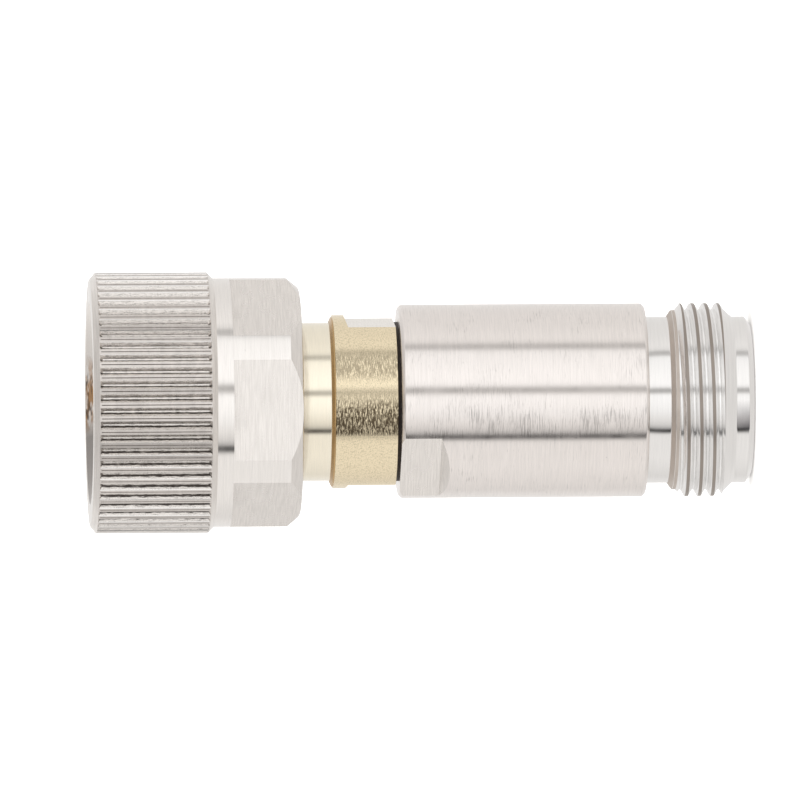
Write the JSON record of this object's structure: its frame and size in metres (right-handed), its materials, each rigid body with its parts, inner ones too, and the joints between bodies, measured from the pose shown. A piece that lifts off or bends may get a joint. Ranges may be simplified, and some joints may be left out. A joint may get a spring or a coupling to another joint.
{
  "type": "coaxial adapter",
  "caption": "In-line coaxial adapter: a plug with a knurled, hex-backed coupling nut, a brass collar and a steel barrel that ends in a threaded jack.",
  "frame": {"origin": "on the common axis, at the jack's front rim, which the part stands on", "axes": "+Z along the axis from the jack's rim to the mouth of the coupling nut; +Y square to one of the barrel's two wrench flats"},
  "size_m": [0.0214, 0.0214, 0.0543],
  "materials": {
    "nut_steel": "turned and milled stainless steel, satin",
    "barrel_steel": "finely turned stainless steel, satin with polished bands",
    "spring_steel": "ground spring strip",
    "gold_brass": "gold plated brass, turned and rubbed",
    "contact_gold": "gold plated spring alloy, bright",
    "insulator": "white moulded insulator",
    "seal_rubber": "black moulded rubber",
    "gasket_rubber": "red-brown silicone rubber"
  },
  "bodies": {
    "adapter": {"plug_body": "gold_brass", "plug_contact": "contact_gold", "plug_pin": "contact_gold", "plug_bead": "insulator", "plug_bead_seal": "seal_rubber", "plug_bush": "contact_gold", "nut_snap_ring": "spring_steel", "nut_thrust_washer": "spring_steel", "neck_seal": "seal_rubber", "face_gasket": "gasket_rubber", "body_seal": "seal_rubber", "jack_body": "barrel_steel", "line_sleeve": "gold_brass", "sleeve_clamp": "gold_brass", "centre_rod": "contact_gold", "jack_bead": "insulator", "jack_bead_seal": "seal_rubber", "jack_bush": "contact_gold", "jack_socket": "contact_gold"},
    "nut": {"coupling_nut": "nut_steel"}
  },
  "joints": [
    {"name": "nut_spin", "type": "hinge", "parent": "adapter", "child": "nut", "pos_m": [0, 0, 0.0415], "axis": [0, 0, 1], "continuous": true}
  ]
}
